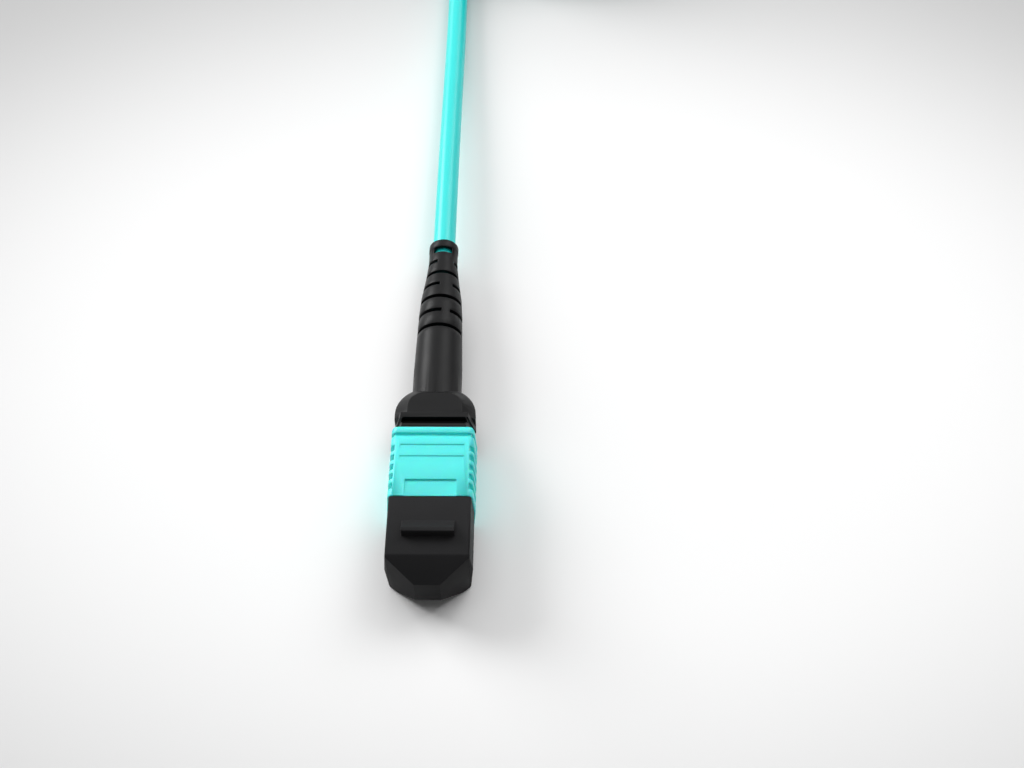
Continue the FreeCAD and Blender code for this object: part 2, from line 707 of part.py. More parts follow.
def build_back_post(connector):
    """Flange, block with two latch arms, and crimp tube, moulded as one piece."""
    body = new_body(connector, "back_post")
    flange = waisted("flange_top_width / 2", "flange_width / 2", "flange_height / 2")
    pad(body, section(body, "flange_front", flange), "flange_length")
    block_front = "flange_front - spigot_length"
    spigot = even_block("chamber_width / 2 - spigot_fit", "chamber_height / 2 - spigot_fit")
    pad(body, section(body, block_front, spigot), "spigot_length")
    arm_top = "chamber_height / 2 - spigot_fit"
    arm_front = f"{block_front} - arm_length"
    for sign in ("", "-"):
        arm = block("arm_width / 2", f"{sign}({arm_top} - arm_thickness)", f"{sign}({arm_top})")
        pad(body, section(body, arm_front, arm), "arm_length")
        hook_front = f"{arm_front} + hook_setback"
        hook = [
            (hook_front, f"{sign}({arm_top} - arm_thickness)"),
            (f"{hook_front} + hook_length", f"{sign}({arm_top} - arm_thickness)"),
            (f"{hook_front} + hook_length", f"{sign}({arm_top} + hook_reach)"),
            (f"{hook_front} + hook_length / 2", f"{sign}({arm_top} + hook_reach)"),
            (hook_front, f"{sign}({arm_top})"),
        ]
        pad_both(body, side_profile(body, hook), "arm_width")
    tube_front = "flange_front + flange_length"
    pad(body, rings(body, tube_front, "tube_width / 2"), "tube_length")
    whole = "spigot_length + flange_length + tube_length"
    pocket(body, rings(body, block_front, "tube_bore / 2"), whole)
    return body


def build_aramid_yarn(connector):
    """Layer of yarn that leaves the jacket and is clamped on the crimp tube."""
    body = new_body(connector, "aramid_yarn")
    front = "flange_front + flange_length + crimp_gap - yarn_lead"
    rear = "flange_front + flange_length + tube_length"
    inner = "tube_width / 2"
    outer = "tube_width / 2 + yarn_thickness"
    sketch = side_profile(
        body,
        [
            (front, inner),
            (front, outer),
            (rear, outer),
            ("jacket_front", "jacket_width / 2 - yarn_seat"),
            ("jacket_front", "jacket_width / 2 - yarn_seat - yarn_thickness"),
            (f"{rear} + yarn_seat", inner),
        ],
    )
    spun = body.newObject("PartDesign::Revolution", f"{body.Name}_revolution")
    spun.Profile = sketch
    spun.ReferenceAxis = (origin_part(body, "Y_Axis"), [""])
    spun.Angle = 360
    finish_feature(body, spun, grows=True)
    return body


def build_crimp_ring(connector):
    """Metal ring pressed over the yarn."""
    body = new_body(connector, "crimp_ring")
    front = "flange_front + flange_length + crimp_gap"
    inner = "tube_width / 2 + yarn_thickness"
    pad(body, rings(body, front, f"{inner} + crimp_wall", inner), "crimp_length")
    return body


def build_strain_relief_boot(connector):
    """Boot with a flared collar, a barrel, and a slotted tapering tail."""
    body = new_body(connector, "strain_relief_boot")
    add_saddle(body)
    add_neck_and_rim(body)
    spin_barrel(body)
    cut_boot_bores(body)
    for index in range(SLOT_COUNT):
        cut_slot_pair(body, index)
    cut_tail_windows(body)
    return body


def add_saddle(body):
    """Add the block behind the rim. It is rounded in plan and bevelled round its flats."""
    plan = new_sketch(body, "XY_Plane")
    draw_loop(plan, block("collar_width / 2", "collar_rear", "saddle_rear"))
    pad_both(body, plan, "barrel_front_width")
    round_edges(body, on_saddle_corner, "saddle_round")
    bevel_edges(body, round_saddle_flat, "saddle_bevel")


def on_saddle_corner(start, end):
    """Tell if an edge is an upright rear corner of the saddle."""
    return abs(start.z - end.z) > 1.0 and start.y > worth("saddle_rear") - 1


def round_saddle_flat(start, end):
    """Tell if an edge borders the saddle's flats, other than at the rim."""
    level = abs(start.z - end.z) < 1e-6
    return level and max(start.y, end.y) > worth("collar_rear") + 1


def add_neck_and_rim(body):
    """Add the neck that the sleeve slides over, and the wider rim behind it."""
    neck_front = "flange_front + flange_length"
    rim_front = "collar_slot + collar_slot_length"
    neck = waisted("flange_top_width / 2", "flange_width / 2", "flange_height / 2")
    pad(body, section(body, neck_front, neck), f"collar_rear - ({neck_front})")
    half_height = "barrel_front_width / 2 + collar_step"
    rim = waisted("collar_top_width / 2", "collar_width / 2", half_height)
    pad(body, section(body, rim_front, rim), f"collar_rear - ({rim_front})")
    for sign in ("", "-"):
        slot = new_sketch(body, "XY_Plane", f"{sign}flange_height / 2")
        end, shoulder = "collar_slot_width / 2", "collar_slot_width / 2 - collar_slot_point"
        middle = "collar_slot + collar_slot_length / 2"
        draw_loop(
            slot,
            [
                (f"-({end})", middle),
                (f"-({shoulder})", "collar_slot"),
                (shoulder, "collar_slot"),
                (end, middle),
                (shoulder, rim_front),
                (f"-({shoulder})", rim_front),
            ],
        )
        pocket(body, slot, "collar_slot_depth", forward=bool(sign))


def spin_barrel(body):
    """Turn the barrel, its narrowing and the bead at its tail about the plug's axis."""
    rim_front = "collar_slot + collar_slot_length"
    bead = "tail_width / 2 - taper_width / 2"
    profile = [
        (rim_front, "0"),
        (rim_front, "barrel_front_width / 2"),
        ("barrel_middle", "barrel_front_width / 2"),
        ("barrel_rear", "barrel_rear_width / 2"),
        ("taper_front", "taper_front_width / 2"),
        ("taper_middle", "taper_middle_width / 2"),
        ("taper_rear", "taper_width / 2"),
        ("bead_front", "taper_width / 2"),
        (f"bead_front + {bead}", "tail_width / 2"),
        ("connector_length - tail_round", "tail_width / 2"),
        ("connector_length", "tail_width / 2 - tail_round"),
        ("connector_length", "0"),
    ]
    spun = body.newObject("PartDesign::Revolution", f"{body.Name}_barrel")
    spun.Profile = side_profile(body, profile)
    spun.ReferenceAxis = (origin_part(body, "Y_Axis"), [""])
    spun.Angle = 360
    finish_feature(body, spun, grows=True)


def cut_boot_bores(body):
    """Bore the room for the crimp and the hole for the jacket."""
    front = "flange_front + flange_length"
    chamber = "tube_width / 2 + yarn_thickness + crimp_wall + crimp_fit"
    pocket(body, rings(body, front, chamber), f"jacket_front + jacket_room - ({front})")
    hole = "jacket_width / 2 + jacket_fit"
    pocket(body, rings(body, front, hole), f"connector_length - ({front})")


def cut_slot_pair(body, index):
    """Cut two facing slots, over and under the jacket or to its left and right by turns."""
    place = f"slot_first + {index} * slot_pitch - {index * (index - 1) // 2} * slot_shrink"
    if index % 2 == 0:
        angle, web = 0, "slot_web"
    else:
        angle, web = worth("slot_turn") + 90, f"(side_web + {index // 2 - 2} * side_web_growth)"
    sketch = new_sketch(body, "XZ_Plane", place)
    sketch.AttachmentOffset = FreeCAD.Placement(
        sketch.AttachmentOffset.Base, FreeCAD.Rotation(FreeCAD.Vector(0, 0, 1), -angle)
    )
    for sign in ("", "-"):
        draw_loop(sketch, block("barrel_front_width", f"{sign}{web} / 2", f"{sign}barrel_front_width"))
    pocket(body, sketch, "slot_width")


def cut_tail_windows(body):
    """Cut the window over the jacket at the tail, and the one under it."""
    sketch = new_sketch(body, "XZ_Plane", "tail_window")
    draw_loop(sketch, even_block("tail_window_width / 2", "tail_width"))
    pocket(body, sketch, "tail_window_length")


def build_fibre_ribbon(connector):
    """Flat ribbon of fibres, from the ferrule to the jacket."""
    name = connector.node("fibre_ribbon")
    ribbon = doc.addObject("Part::Box", name)
    ribbon.Label = name
    front = "housing_front - ferrule_reach + ferrule_length / 2 + 0.1"
    bind(ribbon, Length="ribbon_width", Width=f"jacket_front - ({front})", Height="ribbon_thickness")
    turn = 180 if connector.half_turn else 0
    sign = -1 if connector.half_turn else 1
    ribbon.Placement = FreeCAD.Placement(
        FreeCAD.Vector(0, 0, 0), FreeCAD.Rotation(FreeCAD.Vector(0, 0, 1), turn)
    )
    bind(
        ribbon,
        Placement__Base__x=f"{-sign} * ribbon_width / 2",
        Placement__Base__y=f"{connector.tip} + {sign} * ({front})",
        Placement__Base__z="axis_height - ribbon_thickness / 2",
    )
    SUB_PARTS.append(ribbon)
    return ribbon


def build_connector(connector):
    """Build the fourteen pieces of one connector."""
    build_dust_cap(connector)
    build_coupling_sleeve(connector)
    build_inner_housing(connector)
    build_mt_ferrule(connector)
    build_ferrule_boot(connector)
    build_pin_keeper(connector)
    build_ferrule_spring(connector)
    build_coupling_spring(connector, "coupling_spring_left", "-")
    build_coupling_spring(connector, "coupling_spring_right", "")
    build_back_post(connector)
    build_aramid_yarn(connector)
    build_crimp_ring(connector)
    build_strain_relief_boot(connector)
    build_fibre_ribbon(connector)


def bend_radius(before, corner, after):
    """Give the arc radius that two runs allow, and half the angle between them."""
    first, second = corner - before, after - corner
    half_turn = first.getAngle(second) / 2
    return ARC_SHARE * min(first.Length, second.Length) / math.tan(half_turn), half_turn


def route_wire(name, points):
    """Join straight runs with tangent arcs."""
    corners = [FreeCAD.Vector(*point) for point in points]
    edges = []
    start = corners[0]
    for before, corner, after in zip(corners, corners[1:], corners[2:]):
        radius, half_turn = bend_radius(before, corner, after)
        reach = radius * math.tan(half_turn)
        inward = (before - corner).normalize()
        outward = (after - corner).normalize()
        bisector = (inward + outward).normalize()
        middle = corner + bisector * (radius / math.cos(half_turn) - radius)
        bend_start, bend_end = corner + inward * reach, corner + outward * reach
        edges.append(Part.LineSegment(start, bend_start).toShape())
        edges.append(Part.Arc(bend_start, middle, bend_end).toShape())
        start = bend_end
        print(f"{name}: bend radius {radius:.1f} mm")
    edges.append(Part.LineSegment(start, corners[-1]).toShape())
    return Part.Wire(edges)


def build_lead(name, route):
    """Sweep the jacket along a route given as formulas."""
    points = [[worth(formula) for formula in point] for point in route]
    path = route_wire(name, points)
    radius = worth("jacket_width / 2")
    along = FreeCAD.Vector(*points[1]) - FreeCAD.Vector(*points[0])
    disc = Part.Wire(Part.makeCircle(radius, FreeCAD.Vector(*points[0]), along))
    tube = path.makePipeShell([disc], True, False)
    expected = math.pi * radius**2 * path.Length
    print(f"{name}: volume {tube.Volume:.1f} mm3, section times length {expected:.1f} mm3")
    lead = doc.addObject("Part::Feature", name)
    lead.Label = name
    lead.Shape = tube
    lead.Placement = FreeCAD.Placement()
    SUB_PARTS.append(lead)
    return path.Length


def stadium(name, radius):
    """Make a solid with two round ends, as far apart as the hank's."""
    pieces = []
    for end in ("hank_near_end", "hank_near_end + hank_run"):
        disc = doc.addObject("Part::Cylinder", f"{name}_end")
        bind(disc, Radius=radius, Height="hank_height")
        bind(disc, Placement__Base__x="hank_centre", Placement__Base__y=end)
        pieces.append(disc)
    middle = doc.addObject("Part::Box", f"{name}_middle")
    bind(middle, Length=f"2 * {radius}", Width="hank_run", Height="hank_height")
    bind(middle, Placement__Base__x=f"hank_centre - {radius}", Placement__Base__y="hank_near_end")
    pieces.append(middle)
    joined = doc.addObject("Part::MultiFuse", name)
    joined.Shapes = pieces
    joined.Refine = True
    return joined


def build_hank():
    """Closed ring that the wound part of the cord fits."""
    hank = doc.addObject("Part::Cut", "cable_hank")
    hank.Label = "cable_hank"
    hank.Base = stadium("hank_outside", "hank_outer")
    hank.Tool = stadium("hank_inside", "hank_inner")
    hank.Placement = FreeCAD.Placement()
    SUB_PARTS.append(hank)


def faults():
    """List what failed in the document."""
    found = [item.Name for item in doc.Objects if {"Invalid", "Error"} & set(item.State)]
    for item in SUB_PARTS:
        if item.Shape.isNull() or not item.Shape.isValid() or not item.Shape.Solids:
            found.append(f"{item.Label} has no valid solid")
    return found


def export():
    """Write each sub-part to a file of its own."""
    os.makedirs("parts", exist_ok=True)
    for item in SUB_PARTS:
        item.Shape.exportStep(f"parts/{item.Label}.step")


fill_sheet()
build_connector(Connector("", "-connector_length / 2", half_turn=False))
build_connector(Connector("far_", "far_tip", half_turn=True))
build_lead("cable_lead", NEAR_ROUTE)
build_hank()
build_lead("far_cable_lead", FAR_ROUTE)
doc.recompute()
failed = faults()
if failed or len(SUB_PARTS) > MOST_NODES:
    raise SystemExit(f"not written: {failed}")
export()
print(f"{len(SUB_PARTS)} sub-parts written")
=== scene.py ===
"""Looks of a multi-fibre patch cord: finishes, soft edges, springs, fibres, cord and studio.

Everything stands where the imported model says. The model is in metres. Sizes here are in
millimetres, apart from those of the studio's paper floor and lamps, and angles are in degrees.
A connector's piece is worked out in the frame that `Side.place` gives for its node: the origin
is the middle of the node's front face, Y runs back towards the cord, and the same piece serves
the connector at either end.
"""
import json
import logging
import math
from dataclasses import dataclass
from enum import Enum
from typing import ClassVar, Iterable, Sequence

import bmesh
import bpy
from mathutils import Matrix, Vector


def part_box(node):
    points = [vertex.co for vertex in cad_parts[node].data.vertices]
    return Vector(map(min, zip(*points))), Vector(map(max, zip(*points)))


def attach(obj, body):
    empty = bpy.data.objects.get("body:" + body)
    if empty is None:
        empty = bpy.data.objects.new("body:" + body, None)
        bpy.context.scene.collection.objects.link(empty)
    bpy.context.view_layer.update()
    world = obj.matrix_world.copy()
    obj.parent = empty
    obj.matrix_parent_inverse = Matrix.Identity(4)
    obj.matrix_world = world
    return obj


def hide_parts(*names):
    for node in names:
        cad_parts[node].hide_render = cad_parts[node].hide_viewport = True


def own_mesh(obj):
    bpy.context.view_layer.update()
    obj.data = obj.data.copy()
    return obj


logging.basicConfig(level=logging.INFO, format="%(message)s")
LOG = logging.getLogger("patch_cord")

MM = 0.001

# The colour sockets of a Mix node share their names with others, so these are their numbers.
MIX_A, MIX_B, MIX_RESULT = 6, 7, 2
# Where most of a noise's values lie, in its range of 0 to 1.
NOISE_LOW, NOISE_HIGH = 0.25, 0.75

Inputs = dict[str | int, object]
Point = tuple[float, float, float]


def linear(hex_colour: str) -> tuple[float, float, float, float]:
    """Turn an sRGB hex colour to linear light.

    Args:
        hex_colour: Six hex digits after a #.

    Returns:
        Red, green, blue and an alpha of 1.
    """
    digits = hex_colour.lstrip("#")
    channels = [int(digits[place:place + 2], 16) / 255 for place in (0, 2, 4)]
    red, green, blue = (
        part / 12.92 if part <= 0.04045 else ((part + 0.055) / 1.055) ** 2.4 for part in channels
    )
    return red, green, blue, 1.0


def feed(tree: bpy.types.NodeTree, node: bpy.types.Node, inputs: Inputs) -> None:
    """Set or link a node's inputs.

    Args:
        tree: The node tree.
        node: The node.
        inputs: Name or number of an input to its value, or to the output that feeds it.
    """
    for key, value in inputs.items():
        socket = node.inputs[key]
        if isinstance(value, bpy.types.NodeSocket):
            tree.links.new(value, socket)
        else:
            socket.default_value = value


def add_node(
    tree: bpy.types.NodeTree, kind: str, output: str | int, inputs: Inputs, **settings: str
) -> bpy.types.NodeSocket:
    """Add a node with its settings, values and links.

    Args:
        tree: The node tree.
        kind: Last part of the node's type name.
        output: Name or number of the output that is wanted.
        inputs: What `feed` takes.
        **settings: Properties of the node.

    Returns:
        The output.
    """
    node = tree.nodes.new(f"ShaderNode{kind}")
    for name, value in settings.items():
        setattr(node, name, value)
    feed(tree, node, inputs)
    return node.outputs[output]


def eye_rays(tree: bpy.types.NodeTree) -> bpy.types.NodeSocket:
    """Give 1 for what the eye, a reflection or glass sees, and 0 for light on the object.

    Args:
        tree: The node tree.

    Returns:
        The value's socket.
    """
    seen = add_node(tree, "LightPath", "Is Camera Ray", {})
    rays = seen.node.outputs
    for kind in ("Is Glossy Ray", "Is Transmission Ray"):
        seen = add_node(tree, "Math", 0, {0: seen, 1: rays[kind]}, operation="MAXIMUM")
    return seen


def two_tone(
    tree: bpy.types.NodeTree,
    colour_pattern: bpy.types.NodeSocket,
    tones: tuple[str, str],
    gloss_pattern: bpy.types.NodeSocket,
    roughness: tuple[float, float],
) -> dict[str, bpy.types.NodeSocket]:
    """Let patterns vary a surface's colour and gloss.

    Args:
        tree: The node tree.
        colour_pattern: Pattern from 0 to 1 that the colour follows.
        tones: sRGB colours at its 0 and 1.
        gloss_pattern: Pattern from 0 to 1 that the roughness follows.
        roughness: Roughness where that pattern is low and where it is high.

    Returns:
        What feeds the shader's Base Color and Roughness.
    """
    mixed = {"Factor": colour_pattern, MIX_A: linear(tones[0]), MIX_B: linear(tones[1])}
    spread = {
        "Value": gloss_pattern,
        "From Min": NOISE_LOW, "From Max": NOISE_HIGH,
        "To Min": roughness[0], "To Max": roughness[1],
    }
    return {
        "Base Color": add_node(tree, "Mix", MIX_RESULT, mixed, data_type="RGBA"),
        "Roughness": add_node(tree, "MapRange", "Result", spread),
    }


@dataclass(frozen=True)
class Finish:
    """A real material with the surface that its making gave it."""

    name: str

    def material(self) -> bpy.types.Material:
        """Make the Blender material."""
        made = bpy.data.materials.new(self.name)
        made.use_nodes = True
        tree = made.node_tree
        place = add_node(tree, "TexCoord", "Object", {})
        feed(tree, tree.nodes["Principled BSDF"], self.surface(tree, place))
        return made

    def surface(self, tree: bpy.types.NodeTree, place: bpy.types.NodeSocket) -> Inputs:
        """Work out what feeds the shader.

        Args:
            tree: The node tree.
            place: Object coordinates.

        Returns:
            The shader's inputs, by name.
        """
        raise NotImplementedError


@dataclass(frozen=True)
class MouldedPlastic(Finish):
    """Injection-moulded plastic: a fine spark-eroded grain and a faint drift of gloss."""

    tones: tuple[str, str]
    roughness: float
    specular: float = 0.5
    grain: float = 0.09
    grain_height: float = 0.002
    drift: float = 2.5
    translucency: float = 0.0
    light_reach: float = 0.8
    gloss_drift: ClassVar[float] = 0.04

    def surface(self, tree: bpy.types.NodeTree, place: bpy.types.NodeSocket) -> Inputs:
        """Use one noise for the drift and a finer one for the grain."""
        flow = add_node(tree, "TexNoise", "Fac", {"Vector": place, "Scale": 1 / (self.drift * MM)})
        grain = {"Vector": place, "Scale": 1 / (self.grain * MM), "Detail": 1.0}
        pits = add_node(tree, "TexNoise", "Fac", grain)
        relief = {"Height": pits, "Distance": self.grain_height * MM}
        gloss = (self.roughness - self.gloss_drift, self.roughness + self.gloss_drift)
        return {
            **two_tone(tree, flow, self.tones, flow, gloss),
            "Normal": add_node(tree, "Bump", "Normal", relief),
            "Specular IOR Level": self.specular,
            "Subsurface Weight": self.translucency,
            "Subsurface Scale": self.light_reach * MM,
        }


@dataclass(frozen=True)
class FormedMetal(Finish):
    """Drawn or turned metal: bright, with fine lines round the wire or ring."""

    tones: tuple[str, str]
    roughness: float
    line: float = 0.05
    stretch: Point = (0.15, 1.0, 0.15)
    gloss_drift: ClassVar[float] = 0.06

    def surface(self, tree: bpy.types.NodeTree, place: bpy.types.NodeSocket) -> Inputs:
        """Use a noise that is drawn out across the axis."""
        drawn = add_node(tree, "Mapping", "Vector", {"Vector": place, "Scale": self.stretch})
        lines = add_node(tree, "TexNoise", "Fac", {"Vector": drawn, "Scale": 1 / (self.line * MM)})
        gloss = (self.roughness - self.gloss_drift, self.roughness + self.gloss_drift)
        return {**two_tone(tree, lines, self.tones, lines, gloss), "Metallic": 1.0}


@dataclass(frozen=True)
class ExtrudedJacket(Finish):
    """Cable jacket, extruded over its core: satin, with a slight orange peel."""

    tones: tuple[str, str]
    roughness: float
    specular: float = 0.5
    peel: float = 0.5
    peel_height: float = 0.006
    core: float = 6.0
    core_height: float = 0.02
    gloss_drift: ClassVar[float] = 0.03

    def surface(self, tree: bpy.types.NodeTree, place: bpy.types.NodeSocket) -> Inputs:
        """Use a wide noise for the core that shows through and a finer one for the peel."""
        core = add_node(tree, "TexNoise", "Fac", {"Vector": place, "Scale": 1 / (self.core * MM)})
        peel = add_node(tree, "TexNoise", "Fac", {"Vector": place, "Scale": 1 / (self.peel * MM)})
        waves = {"Height": core, "Distance": self.core_height * MM}
        wavy = add_node(tree, "Bump", "Normal", waves)
        relief = {"Height": peel, "Distance": self.peel_height * MM, "Normal": wavy}
        gloss = (self.roughness - self.gloss_drift, self.roughness + self.gloss_drift)
        return {
            **two_tone(tree, core, self.tones, peel, gloss),
            "Normal": add_node(tree, "Bump", "Normal", relief),
            "Specular IOR Level": self.specular,
        }


@dataclass(frozen=True)
class SpunYarn(Finish):
    """Flat yarn laid along the plug: dry, silky, with filaments that run lengthwise."""

    tones: tuple[str, str]
    roughness: float
    filament: float = 0.05
    filament_height: float = 0.02
    stretch: Point = (1.0, 0.04, 1.0)
    gloss_drift: ClassVar[float] = 0.1

    def surface(self, tree: bpy.types.NodeTree, place: bpy.types.NodeSocket) -> Inputs:
        """Use a noise that is drawn out along the axis."""
        drawn = add_node(tree, "Mapping", "Vector", {"Vector": place, "Scale": self.stretch})
        spun = {"Vector": drawn, "Scale": 1 / (self.filament * MM)}
        yarn = add_node(tree, "TexNoise", "Fac", spun)
        relief = {"Height": yarn, "Distance": self.filament_height * MM}
        gloss = (self.roughness + self.gloss_drift, self.roughness - self.gloss_drift)
        # The darker tone lies where the filament relief is low: painted shade between the
        # filaments.
        return {
            **two_tone(tree, yarn, self.tones, yarn, gloss),
            "Normal": add_node(tree, "Bump", "Normal", relief),
            "Specular IOR Level": 0.4,
            "Sheen Weight": 0.3,
        }


@dataclass(frozen=True)
class LoopFabric(Finish):
    """Hook-and-loop strap: matt nylon with a painted highlight on its raised loops and painted
    shade between them.
    """

    tones: tuple[str, str]
    roughness: tuple[float, float]
    loop: float = 0.35
    loop_height: float = 0.12
    wear: float = 1.5

    def surface(self, tree: bpy.types.NodeTree, place: bpy.types.NodeSocket) -> Inputs:
        """Use small cells for the loops and a noise for how they lie."""
        cells = {"Vector": place, "Scale": 1 / (self.loop * MM)}
        loops = add_node(tree, "TexVoronoi", "Distance", cells)
        wear = add_node(tree, "TexNoise", "Fac", {"Vector": place, "Scale": 1 / (self.wear * MM)})
        relief = {"Height": loops, "Distance": self.loop_height * MM}
        # One cell pattern raises the relief and lightens the colour: painted highlight where the
        # loops stand up, painted shade where they sink.
        return {
            **two_tone(tree, loops, self.tones, wear, self.roughness),
            "Normal": add_node(tree, "Bump", "Normal", relief),
            "Specular IOR Level": 0.2,
            "Sheen Weight": 0.5,
        }


@dataclass(frozen=True)
class ColourCodedRibbon(Finish):
    """Coated fibres side by side, each in its own colour of the usual sequence."""

    colours: tuple[str, ...]
    width: float
    roughness: tuple[float, float]
    smear: float = 0.4

    def surface(self, tree: bpy.types.NodeTree, place: bpy.types.NodeSocket) -> Inputs:
        """Use bands of colour across the ribbon, and a noise for the gloss."""
        across = add_node(tree, "SeparateXYZ", "X", {"Vector": place})
        half = self.width * MM / 2
        width = {"Value": across, "From Min": -half, "From Max": half}
        share = add_node(tree, "MapRange", "Result", width)
        bands = add_node(tree, "ValToRGB", "Color", {"Fac": share})
        ramp = bands.node.color_ramp
        ramp.interpolation = "CONSTANT"
        while len(ramp.elements) < len(self.colours):
            ramp.elements.new(1.0)
        for number, (stop, colour) in enumerate(zip(ramp.elements, self.colours)):
            stop.position = number / len(self.colours)
            stop.color = linear(colour)
        smears = {"Vector": place, "Scale": 1 / (self.smear * MM)}
        spread = {
            "Value": add_node(tree, "TexNoise", "Fac", smears),
            "From Min": NOISE_LOW, "From Max": NOISE_HIGH,
            "To Min": self.roughness[0], "To Max": self.roughness[1],
        }
        gloss = add_node(tree, "MapRange", "Result", spread)
        return {"Base Color": bands, "Roughness": gloss, "Coat Weight": 0.3}


# ABS, moulded black on a lightly spark-eroded tool: matt, with a soft sheen.
CAP_BLACK = MouldedPlastic("moulded_abs_black", ("#222223", "#262627"), 0.5, specular=0.05)
# Glass-filled nylon under the sleeve: duller than the cap.
POST_BLACK = MouldedPlastic("moulded_nylon_black", ("#242524", "#292A29"), 0.5, specular=0.1)
# PBT in the aqua of laser-optimised multimode: dense, satin, and light gets a little way in.
SLEEVE_AQUA = MouldedPlastic(
    "moulded_pbt_aqua", ("#50EBE8", "#4AE6E3"), 0.38, specular=0.38, translucency=0.6
)
# The plug's own housing: the same resin in black, satin.
HOUSING_BLACK = MouldedPlastic("moulded_pbt_black", ("#121213", "#18181A"), 0.42, specular=0.35)
# Filled polyphenylene sulphide, moulded and polished: dark, smooth and a little speckled.
FERRULE_RESIN = MouldedPlastic(
    "moulded_pps_ferrule", ("#2B2926", "#37332E"), 0.33, grain=0.05, drift=0.3
)
# Acetal keeper behind the ferrule: dense and slightly waxy.
KEEPER_BLACK = MouldedPlastic("moulded_acetal_black", ("#1B1B1B", "#232323"), 0.45)
# Silicone rubber sleeve in the back of the ferrule: matt, a little blue.
FERRULE_RUBBER = MouldedPlastic("moulded_silicone_black", ("#1A1C20", "#22252A"), 0.62)
# Thermoplastic elastomer, softer than the cap: a slightly oily sheen along the barrel.
BOOT_RUBBER = MouldedPlastic(
    "moulded_elastomer_black", ("#0E0E0F", "#121213"), 0.38, specular=0.11, grain=0.14
)
# Music wire, coiled cold and nickel-plated: bright, with lines from the die.
SPRING_STEEL = FormedMetal("drawn_spring_steel", ("#C9C7C2", "#A9A7A1"), 0.25)
# Nickel-plated brass ring, turned and crimped: warmer and a little duller than the wire.
CRIMP_METAL = FormedMetal("turned_plated_brass", ("#CFC9BC", "#B8B1A2"), 0.30)
# Aramid yarn: straw yellow, dry and silky, with painted shade between its filaments.
ARAMID = SpunYarn("spun_aramid_yarn", ("#A98A2C", "#E0C155"), 0.60)
# Ultraviolet-cured acrylate over the colour code of twelve fibres: glossy.
RIBBON = ColourCodedRibbon(
    "cured_acrylate_ribbon",
    (
        "#2B5FB4", "#E2842E", "#3B8F4B", "#7A5236", "#8A9199", "#EDEDE8",
        "#C2312F", "#1D1D1F", "#E8CF3A", "#6E4C9A", "#E59AAE", "#5CC8CC",
    ),
    width=3.0,
    roughness=(0.25, 0.35),
)
# Polished silica fibre ends: hard, pale and almost mirror-like.
FIBRE_GLASS = MouldedPlastic(
    "polished_silica", ("#B9C6C9", "#DCE6E8"), 0.08, grain=0.02, grain_height=0.0001, drift=0.06
)
# Low-smoke halogen-free jacket, extruded in aqua: satin, softer in gloss than the sleeve.
JACKET = ExtrudedJacket("extruded_jacket_aqua", ("#1CE1DD", "#18DCD8"), 0.33, specular=0.42)
# Woven nylon hook-and-loop strap: black and matt.
STRAP = LoopFabric("woven_loop_strap", ("#0C0C0D", "#1C1C1E"), (0.75, 0.95))


FINISHES = {
    "cap_plastic": CAP_BLACK,
    "sleeve_plastic": SLEEVE_AQUA,
    "housing_plastic": HOUSING_BLACK,
    "post_plastic": POST_BLACK,
    "keeper_plastic": KEEPER_BLACK,
    "ferrule_resin": FERRULE_RESIN,
    "ferrule_rubber": FERRULE_RUBBER,
    "boot_rubber": BOOT_RUBBER,
    "spring_steel": SPRING_STEEL,
    "crimp_metal": CRIMP_METAL,
    "aramid": ARAMID,
    "ribbon_acrylate": RIBBON,
    "jacket": JACKET,
}


class Palette:
    """Makes each finish's material once and puts it on pieces and nodes."""

    def __init__(self) -> None:
        """Start with nothing made."""
        self.made: dict[str, bpy.types.Material] = {}

    def material(self, finish: Finish) -> bpy.types.Material:
        """Give the material of a finish.

        Args:
            finish: The finish.

        Returns:
            Its material, made the first time.
        """
        if finish.name not in self.made:
            self.made[finish.name] = finish.material()
        return self.made[finish.name]

    def dress(self, piece: bpy.types.Object, slot: str, finish: Finish | None = None) -> None:
        """Put a material on a new piece.

        Args:
            piece: The piece.
            slot: Material slot of the record.
            finish: Its own finish, if it isn't the slot's.
        """
        piece.data.materials.clear()
        piece.data.materials.append(self.material(finish or FINISHES[slot]))

    def dress_node(self, node: bpy.types.Object, slot: str) -> None:
        """Put a slot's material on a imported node's object, and leave its mesh alone.

        Args:
            node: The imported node.
            slot: Its material slot in the record.
        """
        for place in node.material_slots:
            place.link = "OBJECT"
            place.material = self.material(FINISHES[slot])


class Side(Enum):
    """Which end of the cord a connector is on: the prefix of its nodes."""

    NEAR = ""
    FAR = "far_"

    def node(self, name: str) -> str:
        """Give the full name of one of its nodes, bodies or joints.

        Args:
            name: The name without a prefix.

        Returns:
            The name with it.
        """
        return self.value + name

    def ends(self, node: str) -> tuple[Vector, Vector]:
        """Give the middles of a node's front and rear faces.

        Args:
            node: Full name of the node.

        Returns:
            The middle of the face towards the dust cap's nose, and of the one towards the cord.
        """
        low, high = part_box(node)
        middle = (low + high) / 2
        front, rear = (low.y, high.y) if self is Side.NEAR else (high.y, low.y)
        return Vector((middle.x, front, middle.z)), Vector((middle.x, rear, middle.z))

    def place(self, node: str) -> Matrix:
        """Give the frame that a node's pieces are worked out in.

        Args:
            node: Full name of the node.

        Returns:
            Matrix from that frame, in millimetres, to the model's, in metres.
        """
        turn = Matrix.Rotation(0.0 if self is Side.NEAR else math.pi, 4, "Z")
        return Matrix.Translation(self.ends(node)[0]) @ turn @ Matrix.Scale(MM, 4)


def node_size(node: str) -> Vector:
    """Give the size of a node's box.

    Args:
        node: Full name of the node.

    Returns:
        Its three sides, in millimetres.
    """
    low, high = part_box(node)
    return (high - low) / MM


